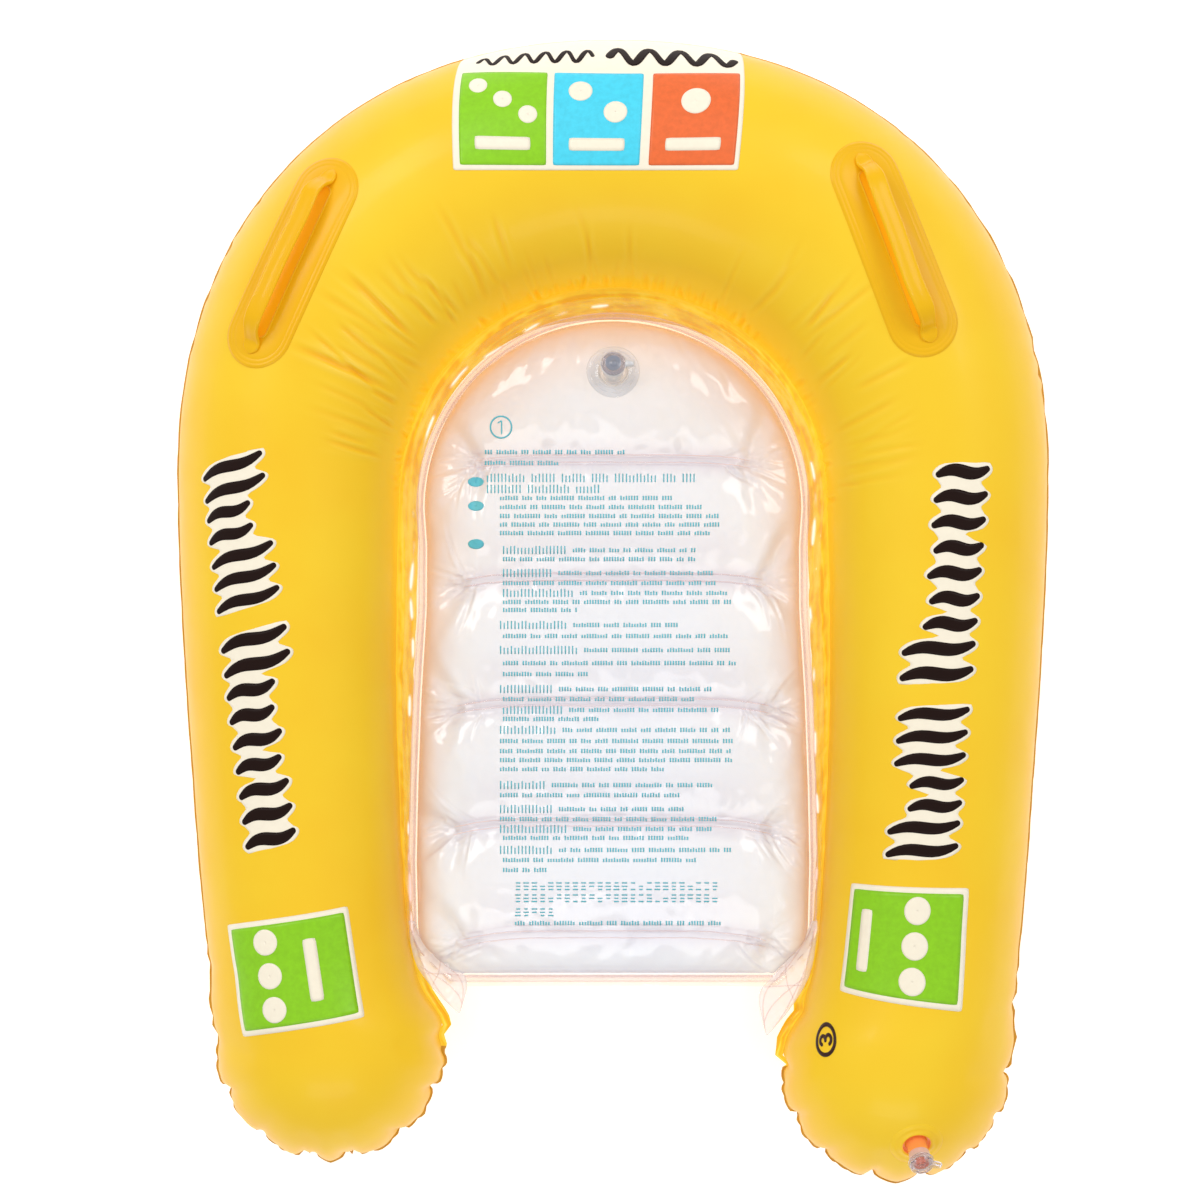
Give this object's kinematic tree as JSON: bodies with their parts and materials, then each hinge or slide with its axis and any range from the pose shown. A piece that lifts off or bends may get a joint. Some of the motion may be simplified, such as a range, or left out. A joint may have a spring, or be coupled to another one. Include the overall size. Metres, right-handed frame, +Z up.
{
  "type": "inflatable kickboard float",
  "caption": "U-shaped inflatable float with a clear ribbed air panel between its legs, grip handles on the shoulders and push-in mouth valves.",
  "frame": {"origin": "on the floor plane under the centre of the float's bounding box", "axes": "+Y towards the nose, +X to the swimmer's right seen from above, +Z up"},
  "size_m": [0.554, 0.7227, 0.1638],
  "materials": {
    "yellow_film": "satin-gloss yellow PVC film",
    "clear_film": "glossy clear PVC film with a milky haze",
    "handle_film": "thicker glossy golden-yellow PVC sheet",
    "valve_clear": "moulded clear soft PVC, glossy",
    "valve_tinted": "moulded soft PVC that picks up the yellow of the film"
  },
  "bodies": {
    "float_body": {"tube_top_sheet": "yellow_film", "tube_divider_sheet": "yellow_film", "tube_bottom_sheet": "yellow_film", "panel_top_sheet": "clear_film", "panel_bottom_sheet": "clear_film", "panel_tie_1": "clear_film", "panel_tie_2": "clear_film", "panel_tie_3": "clear_film", "panel_tie_4": "clear_film", "panel_tie_5": "clear_film", "left_handle_patch": "handle_film", "right_handle_patch": "handle_film", "panel_valve_flange": "valve_clear", "upper_valve_flange": "valve_clear", "lower_valve_flange": "valve_clear"},
    "left_grip": {"left_handle_grip": "handle_film"},
    "right_grip": {"right_handle_grip": "handle_film"},
    "panel_valve_stem": {"panel_valve_stem": "valve_clear", "panel_valve_tether": "valve_clear"},
    "panel_valve_plug": {"panel_valve_plug": "valve_clear"},
    "panel_valve_flap": {"panel_valve_flap": "valve_clear"},
    "upper_valve_stem": {"upper_valve_stem": "valve_tinted", "upper_valve_tether": "valve_clear"},
    "upper_valve_plug": {"upper_valve_plug": "valve_clear"},
    "upper_valve_flap": {"upper_valve_flap": "valve_clear"},
    "lower_valve_stem": {"lower_valve_stem": "valve_tinted", "lower_valve_tether": "valve_clear"},
    "lower_valve_plug": {"lower_valve_plug": "valve_clear"},
    "lower_valve_flap": {"lower_valve_flap": "valve_clear"}
  },
  "joints": [
    {"name": "left_grip_lean", "type": "hinge", "parent": "float_body", "child": "left_grip", "pos_m": [-0.19798, 0.21359, 0.14301], "axis": [0.407, 0.9111, -0.0645], "range_deg": [-20, 20], "stiffness_Nm_per_rad": 0.05},
    {"name": "right_grip_lean", "type": "hinge", "parent": "float_body", "child": "right_grip", "pos_m": [0.17183, 0.22118, 0.14855], "axis": [-0.3443, 0.9358, -0.076], "range_deg": [-20, 20], "stiffness_Nm_per_rad": 0.05},
    {"name": "panel_valve_push_in", "type": "slide", "parent": "float_body", "child": "panel_valve_stem", "axis": [0, 0.2344, 0.9721], "range_m": [-0.012, 0]},
    {"name": "panel_valve_plug_pull", "type": "slide", "parent": "panel_valve_stem", "child": "panel_valve_plug", "axis": [0, 0.2344, 0.9721], "range_m": [0, 0.012]},
    {"name": "panel_valve_flap_open", "type": "hinge", "parent": "panel_valve_stem", "child": "panel_valve_flap", "pos_m": [0.0046, 0.14575, 0.09731], "axis": [0, -0.9721, 0.2344], "range_deg": [0, 60], "stiffness_Nm_per_rad": 0.0004},
    {"name": "upper_valve_push_in", "type": "slide", "parent": "float_body", "child": "upper_valve_stem", "axis": [0.1191, -0.6146, 0.7798], "range_m": [-0.012, 0]},
    {"name": "upper_valve_plug_pull", "type": "slide", "parent": "upper_valve_stem", "child": "upper_valve_plug", "axis": [0.1191, -0.6146, 0.7798], "range_m": [0, 0.012]},
    {"name": "upper_valve_flap_open", "type": "hinge", "parent": "upper_valve_stem", "child": "upper_valve_flap", "pos_m": [0.18921, -0.32328, 0.12563], "axis": [-0.241, -0.7798, -0.5777], "range_deg": [0, 60], "stiffness_Nm_per_rad": 0.0004},
    {"name": "lower_valve_push_in", "type": "slide", "parent": "float_body", "child": "lower_valve_stem", "axis": [-0.1186, -0.6872, -0.7167], "range_m": [-0.012, 0]},
    {"name": "lower_valve_plug_pull", "type": "slide", "parent": "lower_valve_stem", "child": "lower_valve_plug", "axis": [-0.1186, -0.6872, -0.7167], "range_m": [0, 0.012]},
    {"name": "lower_valve_flap_open", "type": "hinge", "parent": "lower_valve_stem", "child": "lower_valve_flap", "pos_m": [-0.1804, -0.31344, 0.02589], "axis": [-0.2718, 0.7167, -0.6422], "range_deg": [0, 60], "stiffness_Nm_per_rad": 0.0004}
  ]
}
